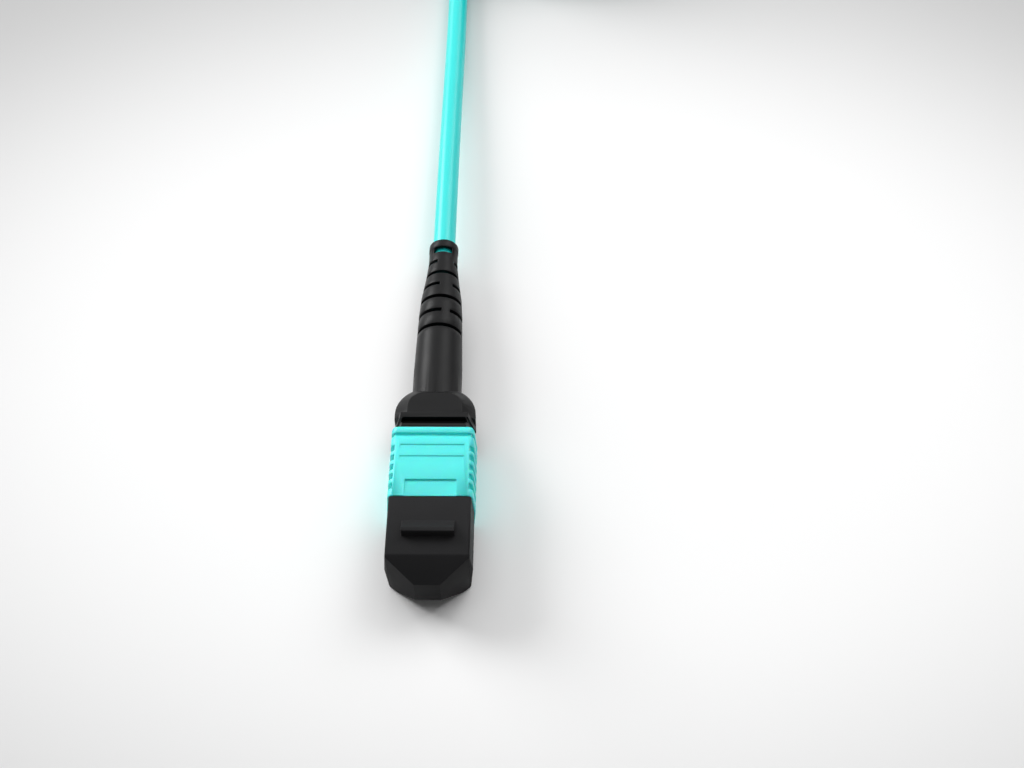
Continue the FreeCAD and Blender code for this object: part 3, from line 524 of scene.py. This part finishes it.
def new_object(name: str, mesh: bmesh.types.BMesh, smooth: bool = True) -> bpy.types.Object:
    """Turn a bmesh into an object at the origin.

    Args:
        name: Name of the piece.
        mesh: Its shape; it is freed.
        smooth: Whether its faces are shaded smooth.

    Returns:
        The new object, linked to the scene.
    """
    data = bpy.data.meshes.new(name)
    mesh.to_mesh(data)
    mesh.free()
    data.polygons.foreach_set("use_smooth", [smooth] * len(data.polygons))
    piece = bpy.data.objects.new(name, data)
    bpy.context.scene.collection.objects.link(piece)
    return piece


def add_rod(
    mesh: bmesh.types.BMesh,
    centre: Point,
    radius: float,
    length: float,
    sides: int,
    flatten: float = 1.0,
) -> None:
    """Add a closed rod that lies along Y.

    Args:
        mesh: What it is added to.
        centre: Its middle.
        radius: Half its width.
        length: Its length.
        sides: How many flat sides it has.
        flatten: Its height as a share of its width.
    """
    bmesh.ops.create_cone(
        mesh, cap_ends=True, segments=sides, radius1=radius, radius2=radius, depth=length,
        matrix=Matrix.Translation(centre)
        @ Matrix.Diagonal((1, 1, flatten, 1))
        @ Matrix.Rotation(math.pi / 2, 4, "X"),
    )


@dataclass(frozen=True)
class SoftenedShell:
    """Copy of a packed moulding whose sharp edges get the small radius that a mould gives them."""

    name: str
    body: str
    slot: str
    radius: float
    # Where edges deeper in than the skin are rounded less, by this share of the radius.
    inside_share: float = 1.0
    skin: float = 0.55
    # A crowded shell has short edges, and each rounding keeps to the room that its edge has.
    crowded: bool = False
    turned: float = 0.8
    sharp_angle: float = 28.0
    flat_angle: float = 0.3
    segments: int = 2
    weld_distance: float = 0.002

    def room(self, edge: bmesh.types.BMEdge) -> float:
        """Give the share of the radius that an edge has room for.

        Args:
            edge: The edge.

        Returns:
            Half its shortest neighbour that turns away from it, over the radius, and at most 1.
        """
        turning = [self.radius * MM * 2]
        for vert in edge.verts:
            along = (edge.other_vert(vert).co - vert.co).normalized()
            for other in vert.link_edges:
                away = other.other_vert(vert).co - vert.co
                if other is not edge and abs(away.normalized().dot(along)) < self.turned:
                    turning.append(away.length)
        return min(turning) / 2 / (self.radius * MM)

    def weigh_edges(self, mesh: bmesh.types.BMesh, low: Vector, high: Vector) -> None:
        """Set how much of the radius each sharp edge gets.

        Args:
            mesh: The shell.
            low: Lowest corner of its box.
            high: Highest corner of its box.
        """
        weights = mesh.edges.layers.float.new("bevel_weight_edge")
        sharp = math.radians(self.sharp_angle)
        for edge in mesh.edges:
            if len(edge.link_faces) == 2 and edge.calc_face_angle() > sharp:
                middle = (edge.verts[0].co + edge.verts[1].co) / 2
                above, below = middle - low, high - middle
                depth = min(above.x, below.x, above.z, below.z)
                share = 1.0 if depth < self.skin * MM else self.inside_share
                edge[weights] = min(share, self.room(edge)) if self.crowded else share

    def build(self, side: Side, palette: Palette) -> bpy.types.Object:
        """Weld a copy of the node, join its flat faces and round its edges.

        Args:
            side: Which connector it is on.
            palette: Materials.

        Returns:
            The new piece, which stands for the node.
        """
        node = side.node(self.name)
        mesh = bmesh.new()
        mesh.from_mesh(frame["nodes"][node].data)
        bmesh.ops.remove_doubles(mesh, verts=mesh.verts, dist=self.weld_distance * MM)
        bmesh.ops.dissolve_limit(
            mesh, angle_limit=math.radians(self.flat_angle), use_dissolve_boundaries=False,
            verts=mesh.verts, edges=mesh.edges,
        )
        self.weigh_edges(mesh, *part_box(node))
        piece = new_object(f"{node}_softened", mesh)
        rounding = piece.modifiers.new("mould_radius", "BEVEL")
        rounding.width = self.radius * MM
        rounding.segments = self.segments
        rounding.limit_method = "WEIGHT"
        rounding.use_clamp_overlap = False
        rounding.harden_normals = True
        palette.dress(piece, self.slot)
        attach(piece, "plug" if self.body == "plug" else side.node(self.body))
        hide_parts(node)
        return piece


@dataclass(frozen=True)
class CoilSpring:
    """Compression spring of round wire with a closed turn at each end."""

    name: str
    joint: str
    travel: float
    wire: float
    turns: int
    turn_steps: int = 16
    wire_sides: int = 8

    def build(self, side: Side, palette: Palette) -> bpy.types.Object:
        """Spin the wire round the spring's axis.

        Args:
            side: Which connector it is on.
            palette: Materials.

        Returns:
            The spring.
        """
        node = side.node(self.name)
        size = node_size(node)
        radius = (size.x - self.wire) / 2
        # The two closed turns and the width of the wire take up a wire's width each.
        open_pitch = (size.y - 3 * self.wire) / self.turns
        mesh = bmesh.new()
        start = bmesh.ops.create_circle(
            mesh, cap_ends=True, segments=self.wire_sides, radius=self.wire / 2,
            matrix=Matrix.Translation((radius, self.wire / 2, 0)),
        )["verts"]
        touching = (item for vert in start for item in (vert, *vert.link_edges, *vert.link_faces))
        section = list(dict.fromkeys(touching))
        for turns, pitch in ((1, self.wire), (self.turns, open_pitch), (1, self.wire)):
            section = bmesh.ops.spin(
                mesh, geom=section, cent=(0, 0, 0), axis=(0, 1, 0),
                dvec=(0, pitch / self.turn_steps, 0),
                angle=2 * math.pi * turns, steps=turns * self.turn_steps,
                use_merge=False, use_normal_flip=False, use_duplicate=False,
            )["geom_last"]
        bmesh.ops.recalc_face_normals(mesh, faces=mesh.faces)
        mesh.transform(side.place(node))
        piece = new_object(f"{node}_coils", mesh)
        palette.dress(piece, "spring_steel")
        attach(piece, "plug")
        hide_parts(node)
        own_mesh(piece)
        return piece


@dataclass(frozen=True)
class FibreEnds:
    """Row of polished fibre ends on the ferrule's face."""

    count: int = 12
    pitch: float = 0.25
    diameter: float = 0.125
    stand_out: float = 0.005
    depth: float = 0.05
    sides: int = 16

    def build(self, side: Side, palette: Palette) -> bpy.types.Object:
        """Set the ends in a row.

        Args:
            side: Which connector it is on.
            palette: Materials.

        Returns:
            The row.
        """
        mesh = bmesh.new()
        for number in range(self.count):
            across = (number - (self.count - 1) / 2) * self.pitch
            centre = (across, self.depth / 2 - self.stand_out, 0)
            add_rod(mesh, centre, self.diameter / 2, self.depth, self.sides)
        mesh.transform(side.place(side.node("mt_ferrule")))
        piece = new_object(side.node("fibre_ends"), mesh, smooth=False)
        palette.dress(piece, "ferrule_resin", FIBRE_GLASS)
        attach(piece, side.node("ferrule"))
        return piece


@dataclass(frozen=True)
class FibreRibbon:
    """Twelve coated fibres bonded side by side, from the ferrule to the jacket."""

    count: int = 12
    thickness: float = 0.27
    travel: float = 1.0
    sides: int = 12

    def build(self, side: Side, palette: Palette) -> bpy.types.Object:
        """Lay the fibres beside each other.

        Args:
            side: Which connector it is on.
            palette: Materials.

        Returns:
            The ribbon.
        """
        node = side.node("fibre_ribbon")
        size = node_size(node)
        pitch = size.x / self.count
        flatten = self.thickness / pitch
        mesh = bmesh.new()
        for number in range(self.count):
            across = (number - (self.count - 1) / 2) * pitch
            add_rod(mesh, (across, size.y / 2, 0), pitch / 2, size.y, self.sides, flatten)
        mesh.transform(side.place(node))
        piece = new_object(f"{node}_fibres", mesh)
        palette.dress(piece, "ribbon_acrylate")
        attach(piece, "plug")
        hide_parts(node)
        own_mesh(piece)
        return piece


@dataclass(frozen=True)
class Connector:
    """One push-pull plug with its cap, sleeve, ferrule, springs and boot."""

    side: Side

    parts: ClassVar = (
        SoftenedShell("dust_cap", "dust_cap", "cap_plastic", 0.09),
        SoftenedShell(
            "coupling_sleeve", "coupling_sleeve", "sleeve_plastic", 0.12,
            inside_share=0.35, crowded=True,
        ),
        SoftenedShell("strain_relief_boot", "plug", "boot_rubber", 0.06),
        SoftenedShell("back_post", "plug", "post_plastic", 0.06),
        SoftenedShell("inner_housing", "plug", "housing_plastic", 0.06),
        CoilSpring("ferrule_spring", "ferrule_float", travel=1.0, wire=0.4, turns=6),
        CoilSpring("coupling_spring_left", "sleeve_pull", travel=2.0, wire=0.2, turns=12),
        CoilSpring("coupling_spring_right", "sleeve_pull", travel=2.0, wire=0.2, turns=12),
        FibreEnds(),
        FibreRibbon(),
    )

    def build(self, palette: Palette) -> list[bpy.types.Object]:
        """Make the connector's pieces.

        Args:
            palette: Materials.

        Returns:
            The new pieces.
        """
        return [part.build(self.side, palette) for part in self.parts]


@dataclass(frozen=True)
class PatchCord:
    """The aqua cord between the two connectors, with its middle folded into a hank."""

    diameter: float = 3.6
    length: float = 850.0
    exit: Point = (0.0, 31.1, 4.5)
    hank_centre: float = 16.2
    near_end: float = 128.0
    run: float = 32.5
    turns: int = 4
    end_steps: int = 8
    # How far the tie holds the left run off the surface.
    tie_lift: float = 0.62

    near_route: ClassVar[tuple[Point, ...]] = (
        (0.0, 3.3, 4.5), (0.0, 46.0, 4.5), (0.35, 94.0, 1.8), (0.0, 122.0, 1.8),
    )
    far_route: ClassVar[tuple[Point, ...]] = (
        (0.0, 156.0, 9.0), (0.0, 169.5, 8.6), (0.0, 181.5, 4.5), (0.0, 194.2, 4.5),
        (0.0, 213.8, 4.5),
    )
    # Radius and height of the strand in each of its five lays, and the turns in which it shifts.
    lays: ClassVar = ((16.2, 1.8), (12.6, 1.8), (12.6, 5.4), (16.2, 5.4), (16.2, 9.0))
    shifts: ClassVar = ((0.55, 0.70), (1.45, 1.60), (2.35, 2.50), (3.25, 3.40))
    # Where the control points of a run lie along it, and those of the last run before it leaves.
    run_shares: ClassVar = (0.25, 0.75)
    last_shares: ClassVar = (0.25, 0.6)

    def lay_at(self, turn: float) -> tuple[float, float]:
        """Find the strand's lay.

        Args:
            turn: How many turns have been wound.

        Returns:
            The radius and height there.
        """
        radius, height = self.lays[0]
        for (begin, end), (before, after) in zip(self.shifts, zip(self.lays, self.lays[1:])):
            share = min(max((turn - begin) / (end - begin), 0.0), 1.0)
            eased = share * share * (3 - 2 * share)
            if share > 0:
                radius = before[0] + (after[0] - before[0]) * eased
                height = before[1] + (after[1] - before[1]) * eased
        return radius, height

    def turn_points(self, turn: int) -> Iterable[Point]:
        """Give the control points of one turn, clockwise from the near end of the left run.

        Args:
            turn: How many turns lie under it.

        Yields:
            Each point.
        """
        # Control points round an end stand outside its arc by this much.
        widen = 1 / math.cos(math.pi / (2 * self.end_steps))
        straight = self.run / (2 * self.run + 2 * math.pi * self.lays[0][0])
        for side, begun, lift in ((-1, 0.0, self.tie_lift), (1, 0.5, 0.0)):
            for share in self.run_shares:
                radius, height = self.lay_at(turn + begun + share * straight)
                along = self.run * (share if side < 0 else 1 - share)
                yield self.hank_centre + side * radius, self.near_end + along, height + lift
            end = self.near_end + (self.run if side < 0 else 0.0)
            for step in range(self.end_steps):
                share = (step + 0.5) / self.end_steps
                radius, height = self.lay_at(turn + begun + straight + share * (0.5 - straight))
                angle = math.pi * share
                yield (
                    self.hank_centre + side * radius * widen * math.cos(angle),
                    end - side * radius * widen * math.sin(angle),
                    height,
                )

    def points(self) -> list[Point]:
        """List the control points of the whole cord.

        Returns:
            The points, from the near connector to the far one.
        """
        wound = [point for turn in range(self.turns) for point in self.turn_points(turn)]
        top = self.lays[-1][1] + self.tie_lift
        last = [(0.0, self.near_end + share * self.run, top) for share in self.last_shares]
        return [*self.near_route, *wound, *last, *self.far_route]

    def build(self, palette: Palette, far_pieces: Sequence[bpy.types.Object]) -> bpy.types.Object:
        """Args:
            palette: Materials.
            far_pieces: Pieces of the connector on its far end; not used.

        Returns:
            The cord.
        """
        curve = bpy.data.curves.new("patch_cord", "CURVE")
        curve.dimensions = "3D"
        curve.bevel_depth = self.diameter * MM / 2
        curve.bevel_resolution = 8
        curve.resolution_u = 8
        curve.use_fill_caps = True
        points = self.points()
        spline = curve.splines.new("NURBS")
        spline.points.add(len(points) - 1)
        for point, (x, y, z) in zip(spline.points, points):
            point.co = (x * MM, y * MM, z * MM, 1.0)
        spline.order_u = 3
        spline.use_endpoint_u = True
        cord = bpy.data.objects.new("patch_cord", curve)
        bpy.context.scene.collection.objects.link(cord)
        palette.dress(cord, "jacket")
        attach(cord, "plug")
        leads = ("cable_lead", "cable_hank", "far_cable_lead")
        others = (name for name in frame["nodes"] if name not in leads)
        far_nodes = [name for name in others if name.startswith(Side.FAR.value)]
        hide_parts(*leads)
        return cord


@dataclass(frozen=True)
class HankTie:
    """Hook-and-loop strap round the hank's left run."""

    place: float = 144.2
    width: float = 12.0
    thickness: float = 0.5
    strand: float = PatchCord.diameter
    strand_sides: int = 24
    lift: float = PatchCord.tie_lift
    # Strands at the corners of the bundle: across and up.
    corners: tuple[tuple[float, float], ...] = ((0.0, 1.8), (3.6, 1.8), (3.6, 5.4), (0.0, 9.0))
    # Faces that point along the cord by more than this are the bundle's ends, and are left open.
    end_facing: float = 0.9
    # The strap's end laps over the side that faces this way, with a small gap under it.
    lap_side: Point = (0.71, 0.0, 0.71)
    lap_facing: float = 0.8
    lap_gap: float = 0.02
    edge_radius: float = 0.12
    flat_angle: float = 0.5

    def hull(self) -> bmesh.types.BMesh:
        """Stretch an open band round the strands.

        Returns:
            The band, without a thickness.
        """
        mesh = bmesh.new()
        for across, up in self.corners:
            centre = (across, self.place, up + self.lift)
            add_rod(mesh, centre, self.strand / 2, self.width, self.strand_sides)
        hull = bmesh.ops.convex_hull(mesh, input=mesh.verts)
        inner = dict.fromkeys((*hull["geom_interior"], *hull["geom_unused"]))
        inner_verts = [item for item in inner if isinstance(item, bmesh.types.BMVert)]
        bmesh.ops.delete(mesh, geom=inner_verts, context="VERTS")
        mesh.normal_update()
        ends = [face for face in mesh.faces if abs(face.normal.y) > self.end_facing]
        bmesh.ops.delete(mesh, geom=ends, context="FACES")
        bmesh.ops.dissolve_limit(
            mesh, angle_limit=math.radians(self.flat_angle), verts=mesh.verts, edges=mesh.edges
        )
        return mesh

    def build(self, palette: Palette) -> bpy.types.Object:
        """Lap the band's end and give it its thickness.

        Args:
            palette: Materials.

        Returns:
            The tie.
        """
        mesh = self.hull()
        lap_side = Vector(self.lap_side)
        lapped = [face for face in mesh.faces if face.normal.dot(lap_side) > self.lap_facing]
        lap = bmesh.ops.duplicate(mesh, geom=lapped)["geom"]
        lap_verts = [item for item in lap if isinstance(item, bmesh.types.BMVert)]
        bmesh.ops.translate(mesh, verts=lap_verts, vec=lap_side * (self.thickness + self.lap_gap))
        bmesh.ops.recalc_face_normals(mesh, faces=mesh.faces)
        bmesh.ops.solidify(mesh, geom=mesh.faces, thickness=-self.thickness)
        bmesh.ops.recalc_face_normals(mesh, faces=mesh.faces)
        mesh.transform(Matrix.Scale(MM, 4))
        piece = new_object("hank_tie", mesh)
        rounding = piece.modifiers.new("woven_edge", "BEVEL")
        rounding.width = self.edge_radius * MM
        rounding.segments = 2
        rounding.limit_method = "ANGLE"
        rounding.harden_normals = True
        palette.dress(piece, "boot_rubber", STRAP)
        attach(piece, "plug")
        return piece


@dataclass(frozen=True)
class SeamlessPaper(Finish):
    """Matt white paper with a painted pool of light round the near connector that fades to painted
    shade.
    """

    # Painted light near the connector, and painted shade far from it.
    painted_pool_tone: str = "#FCFCFC"
    painted_dim_tone: str = "#C1C1C1"
    # The ellipse that the painted light falls off along, per metre, and where it begins and ends.
    offset: Point = (-0.0635, -0.0764, 0.0)
    scale: Point = (3.665, 4.991, 1.0)
    painted_falloff: tuple[float, float] = (0.205, 0.627)
    # Past the lamps' reach the eye sees a pale glow in place of the dark.
    beyond: tuple[float, float] = (2.0, 16.0)
    beyond_glow: float = 0.5

    def surface(self, tree: bpy.types.NodeTree, place: bpy.types.NodeSocket) -> Inputs:
        """Use the distance from the middle of the painted pool of light for the painted tone and
        the far glow.
        """
        ellipse = {"Vector": place, "Location": self.offset, "Scale": self.scale}
        centred = add_node(tree, "Mapping", "Vector", ellipse)
        distance = add_node(tree, "VectorMath", "Value", {0: centred}, operation="LENGTH")
        shares = []
        for (start, end), top, easing in (
            (self.painted_falloff, 1.0, "SMOOTHSTEP"), (self.beyond, self.beyond_glow, "SMOOTHERSTEP")
        ):
            reach = {"Value": distance, "From Min": start, "From Max": end, "To Max": top}
            shares.append(add_node(tree, "MapRange", "Result", reach, interpolation_type=easing))
        painted_dimming, beyond = shares
        # The painted pool of light fades to painted shade along the ellipse.
        tones = {"Factor": painted_dimming, MIX_A: linear(self.painted_pool_tone), MIX_B: linear(self.painted_dim_tone)}
        glow = {0: beyond, 1: eye_rays(tree)}
        return {
            "Base Color": add_node(tree, "Mix", MIX_RESULT, tones, data_type="RGBA"),
            "Roughness": 0.9,
            "Specular IOR Level": 0.1,
            "Emission Color": (1, 1, 1, 1),
            "Emission Strength": add_node(tree, "Math", 0, glow, operation="MULTIPLY"),
        }


@dataclass(frozen=True)
class SoftLamp:
    """Square lamp, out of the camera's sight, that points at the origin. Sizes are in metres."""

    name: str
    place: Point
    size: float
    power: float

    def build(self) -> None:
        """Hang the lamp."""
        lamp = bpy.data.lights.new(self.name, "AREA")
        lamp.size = self.size
        lamp.energy = self.power
        holder = bpy.data.objects.new(self.name, lamp)
        holder.location = self.place
        holder.visible_camera = False
        holder.rotation_euler = (-Vector(self.place)).to_track_quat("-Z", "Y").to_euler()
        bpy.context.scene.collection.objects.link(holder)


@dataclass(frozen=True)
class Studio:
    """White floor, soft lamps and the camera. Half the floor's width is in metres."""

    camera_place: Point = (11.481, -107.197, 156.648)
    pitch: float = 53.925
    yaw: float = 0.132
    roll: float = 0.096
    focal_length: float = 43.875
    sensor_width: float = 36.0
    near_clip: float = 10.0
    floor_half: float = 12.0
    world_strength: float = 0.12
    wall_strength: float = 0.8

    lamps: ClassVar = (
        SoftLamp("overhead", (0.0, 1.05, 2.16), size=2.85, power=34.5),
        SoftLamp("left_back", (-2.14, 1.62, 1.25), size=1.50, power=76.0),
        SoftLamp("right_back", (1.48, 1.76, 1.93), size=1.80, power=32.0),
    )

    def build(self) -> None:
        """Make the floor, the lamps, the world and the camera."""
        self.add_floor()
        self.add_world()
        for lamp in self.lamps:
            lamp.build()
        self.add_camera()
        bpy.context.scene.view_settings.view_transform = "Standard"

    def add_floor(self) -> None:
        """Lay a wide sheet of white paper."""
        mesh = bmesh.new()
        bmesh.ops.create_grid(mesh, x_segments=1, y_segments=1, size=self.floor_half)
        floor = new_object("studio_floor", mesh, smooth=False)
        floor.data.materials.append(SeamlessPaper("paper_white").material())

    def add_world(self) -> None:
        """Light the room evenly, and show a pale wall to the eye and to reflections."""
        world = bpy.data.worlds.new("studio")
        world.use_nodes = True
        tree = world.node_tree
        levels = {
            "Value": eye_rays(tree), "To Min": self.world_strength, "To Max": self.wall_strength
        }
        strength = add_node(tree, "MapRange", "Result", levels)
        feed(tree, tree.nodes["Background"], {"Color": (1, 1, 1, 1), "Strength": strength})
        bpy.context.scene.world = world

    def add_camera(self) -> None:
        """Stand the camera above and in front of the nose."""
        data = bpy.data.cameras.new("camera")
        data.lens = self.focal_length
        data.sensor_width = self.sensor_width
        data.clip_start = self.near_clip * MM
        camera = bpy.data.objects.new("camera", data)
        turn = (
            Matrix.Rotation(math.radians(self.yaw), 4, "Z")
            @ Matrix.Rotation(math.radians(90 - self.pitch), 4, "X")
            @ Matrix.Rotation(math.radians(self.roll), 4, "Z")
        )
        camera.location = Vector(self.camera_place) * MM
        camera.rotation_euler = turn.to_euler()
        bpy.context.scene.collection.objects.link(camera)
        bpy.context.scene.camera = camera


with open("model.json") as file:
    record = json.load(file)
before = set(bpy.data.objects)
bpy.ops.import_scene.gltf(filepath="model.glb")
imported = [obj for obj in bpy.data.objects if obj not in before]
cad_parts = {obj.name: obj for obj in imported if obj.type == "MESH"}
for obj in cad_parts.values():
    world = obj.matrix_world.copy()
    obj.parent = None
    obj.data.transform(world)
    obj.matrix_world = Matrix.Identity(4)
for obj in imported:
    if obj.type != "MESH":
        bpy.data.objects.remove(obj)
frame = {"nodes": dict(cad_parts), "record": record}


def main() -> None:
    """Build the studio, both connectors, the cord and its tie."""
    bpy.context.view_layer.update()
    palette = Palette()
    Studio().build()
    for row in frame["record"]["subparts"]:
        palette.dress_node(frame["nodes"][row["node"]], row["material_slot"])
    near_pieces, far_pieces = (Connector(side).build(palette) for side in Side)
    cord = PatchCord().build(palette, far_pieces)
    for piece in (*near_pieces, *far_pieces, cord, HankTie().build(palette)):
        LOG.info("built %s", piece.name)


if __name__ == "__main__":
    main()
